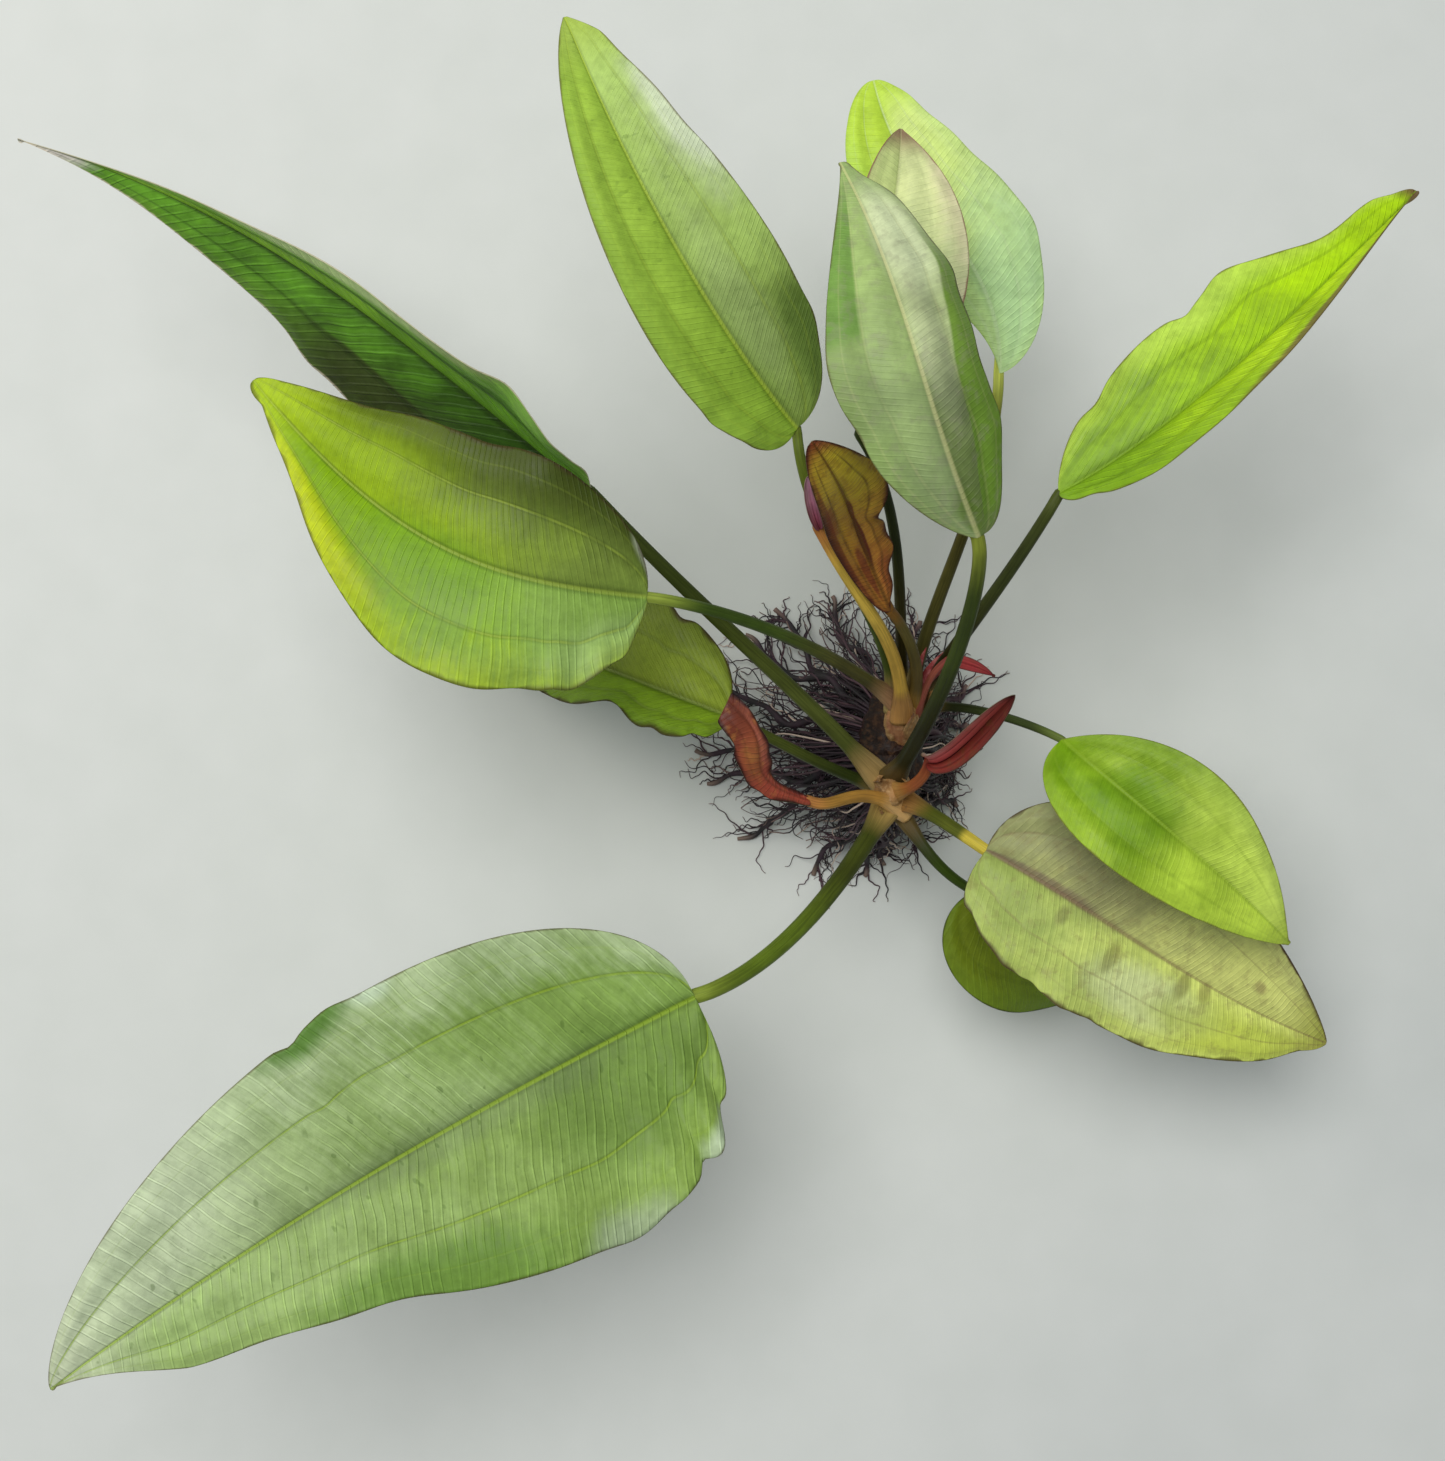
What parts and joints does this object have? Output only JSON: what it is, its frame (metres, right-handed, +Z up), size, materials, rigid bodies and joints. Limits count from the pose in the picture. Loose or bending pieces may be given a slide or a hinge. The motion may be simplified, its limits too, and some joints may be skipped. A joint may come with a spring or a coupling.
{
  "type": "amazon sword plant",
  "caption": "Bare-root amazon sword plant: an open rosette of stalked sword-shaped leaves on a short twin-crowned rhizome with spreading roots.",
  "frame": {"origin": "on the ground, under the middle of the plant's bounding box", "axes": "+Z up, out of the rosette's open face; +Y towards the back of the rosette, the top of the picture; +X towards its right side"},
  "size_m": [0.2903, 0.2552, 0.1303],
  "materials": {
    "blade_green": "satin leaf with a waxy skin",
    "blade_olive": "satin leaf with a waxy skin",
    "blade_red": "glossy young leaf",
    "stalk_green": "smooth juicy stalk, slight gloss",
    "stalk_amber": "smooth juicy stalk, slight gloss",
    "stalk_red": "smooth juicy stalk, slight gloss",
    "rhizome": "papery sheaths, matt",
    "root": "wet fibrous root, matt"
  },
  "bodies": {
    "root": {"rhizome": "rhizome", "front_left_leaf_stalk": "stalk_green", "front_left_leaf_blade": "blade_green", "left_leaf_stalk": "stalk_green", "left_leaf_blade": "blade_green", "far_left_leaf_stalk": "stalk_green", "far_left_leaf_blade": "blade_green", "low_left_leaf_stalk": "stalk_green", "low_left_leaf_blade": "blade_green", "back_leaf_stalk": "stalk_green", "back_leaf_blade": "blade_green", "tall_right_leaf_stalk": "stalk_green", "tall_right_leaf_blade": "blade_green", "middle_right_leaf_stalk": "stalk_green", "middle_right_leaf_blade": "blade_olive", "back_right_leaf_stalk": "stalk_green", "back_right_leaf_blade": "blade_green", "far_right_leaf_stalk": "stalk_green", "far_right_leaf_blade": "blade_green", "right_leaf_stalk": "stalk_green", "right_leaf_blade": "blade_green", "front_right_leaf_stalk": "stalk_green", "front_right_leaf_blade": "blade_olive", "low_right_leaf_stalk": "stalk_green", "low_right_leaf_blade": "blade_green", "young_left_leaf_stalk": "stalk_amber", "young_left_leaf_blade": "blade_red", "young_back_leaf_stalk": "stalk_green", "young_back_leaf_blade": "blade_red", "young_right_leaf_stalk": "stalk_amber", "young_right_leaf_blade": "blade_red", "small_right_leaf_stalk": "stalk_red", "small_right_leaf_blade": "blade_red", "furled_back_leaf_stalk": "stalk_amber", "furled_back_leaf_blade": "blade_red", "root_01": "root", "root_02": "root", "root_03": "root", "root_04": "root", "root_05": "root", "root_06": "root", "root_07": "root", "root_08": "root", "root_09": "root", "root_10": "root", "root_11": "root", "root_12": "root", "root_13": "root", "root_14": "root", "root_15": "root", "root_16": "root", "root_17": "root", "root_18": "root"}
  },
  "joints": []
}
